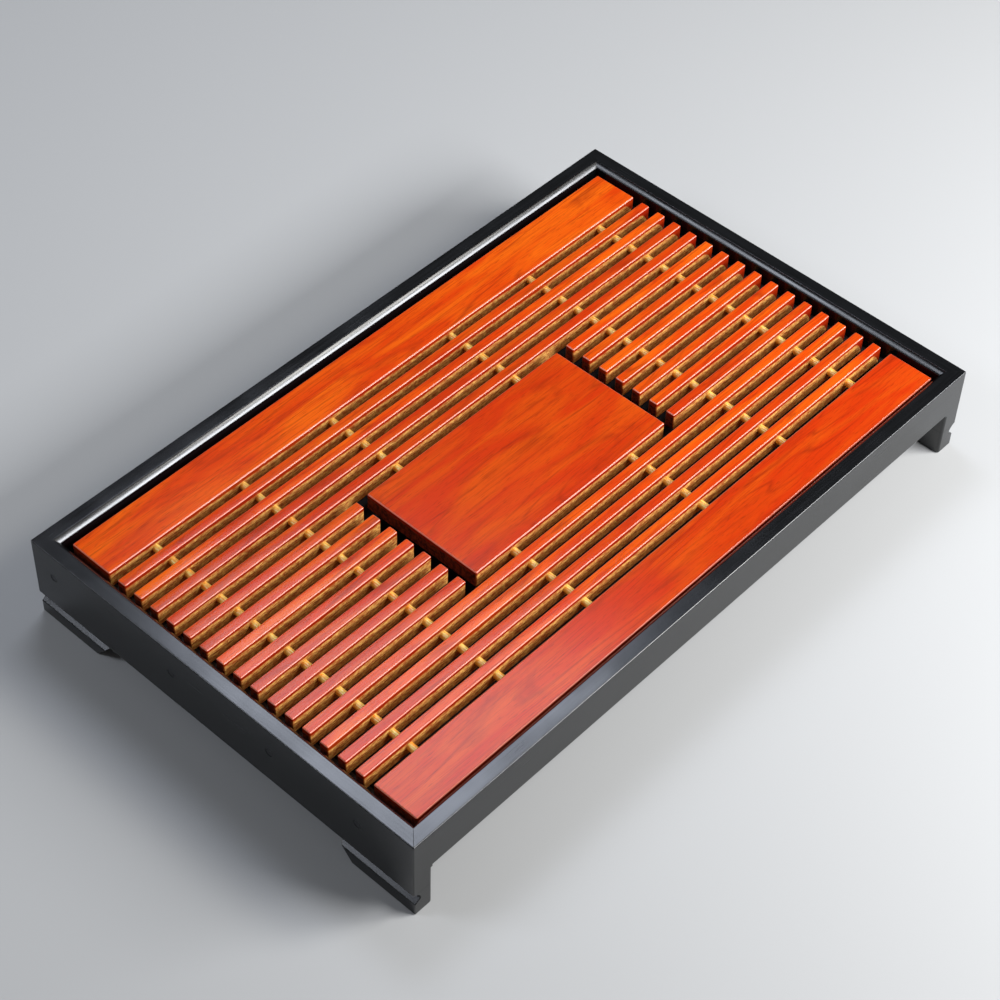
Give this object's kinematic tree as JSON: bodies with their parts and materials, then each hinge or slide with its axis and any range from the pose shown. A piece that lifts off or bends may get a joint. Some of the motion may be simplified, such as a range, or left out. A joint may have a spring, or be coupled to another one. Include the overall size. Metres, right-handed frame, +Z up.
{
  "type": "tea tray",
  "caption": "Rectangular tea tray: a black mitred frame on moulded feet, a lift-off slatted wooden grate with a solid centre panel, and a lift-out water pan below.",
  "frame": {"origin": "centre of the tray's footprint, on the surface that the feet stand on", "axes": "+Z up, +X along the long side, -Y towards the front long side"},
  "size_m": [0.48, 0.3, 0.062],
  "materials": {
    "frame_lacquer": "solid wood under a closed satin black lacquer",
    "base_plywood": "plywood, stained black, matt",
    "cleat_wood": "softwood strip, stained black, matt",
    "screw_steel": "zinc-plated",
    "plug_filler": "black filler rubbed level with the lacquer",
    "grate_wood": "orange-red gloss lacquer over straight-grained hardwood",
    "dowel_bamboo": "bare bamboo rod, lightly oiled",
    "pan_plastic": "vacuum-formed black sheet, semi-gloss"
  },
  "bodies": {
    "frame": {"front_rail": "frame_lacquer", "back_rail": "frame_lacquer", "left_end_board": "frame_lacquer", "right_end_board": "frame_lacquer", "foot_front_left": "frame_lacquer", "foot_back_left": "frame_lacquer", "foot_front_right": "frame_lacquer", "foot_back_right": "frame_lacquer", "base_board": "base_plywood", "left_cleat": "cleat_wood", "right_cleat": "cleat_wood", "base_screws": "screw_steel", "cleat_screws": "screw_steel", "foot_screws": "screw_steel", "screw_plugs": "plug_filler"},
    "grate": {"back_plank": "grate_wood", "front_plank": "grate_wood", "centre_panel": "grate_wood", "slat_01": "grate_wood", "slat_02": "grate_wood", "slat_03": "grate_wood", "slat_04": "grate_wood", "slat_05_left": "grate_wood", "slat_05_right": "grate_wood", "slat_06_left": "grate_wood", "slat_06_right": "grate_wood", "slat_07_left": "grate_wood", "slat_07_right": "grate_wood", "slat_08_left": "grate_wood", "slat_08_right": "grate_wood", "slat_09_left": "grate_wood", "slat_09_right": "grate_wood", "slat_10_left": "grate_wood", "slat_10_right": "grate_wood", "slat_11_left": "grate_wood", "slat_11_right": "grate_wood", "slat_12": "grate_wood", "slat_13": "grate_wood", "slat_14": "grate_wood", "slat_15": "grate_wood", "long_dowel_1": "dowel_bamboo", "long_dowel_2": "dowel_bamboo", "long_dowel_3": "dowel_bamboo", "long_dowel_4": "dowel_bamboo", "short_dowel_back_left": "dowel_bamboo", "short_dowel_back_right": "dowel_bamboo", "short_dowel_front_left": "dowel_bamboo", "short_dowel_front_right": "dowel_bamboo"},
    "pan": {"water_pan": "pan_plastic"}
  },
  "joints": [
    {"name": "grate_lift", "type": "slide", "parent": "frame", "child": "grate", "axis": [0, 0, 1], "range_m": [0, 0.09]},
    {"name": "pan_lift", "type": "slide", "parent": "frame", "child": "pan", "axis": [0, 0, 1], "range_m": [0, 0.045]}
  ],
  "couplings": [
    {"joint": "pan_lift", "follows": "grate_lift", "ratio": 0.5}
  ]
}
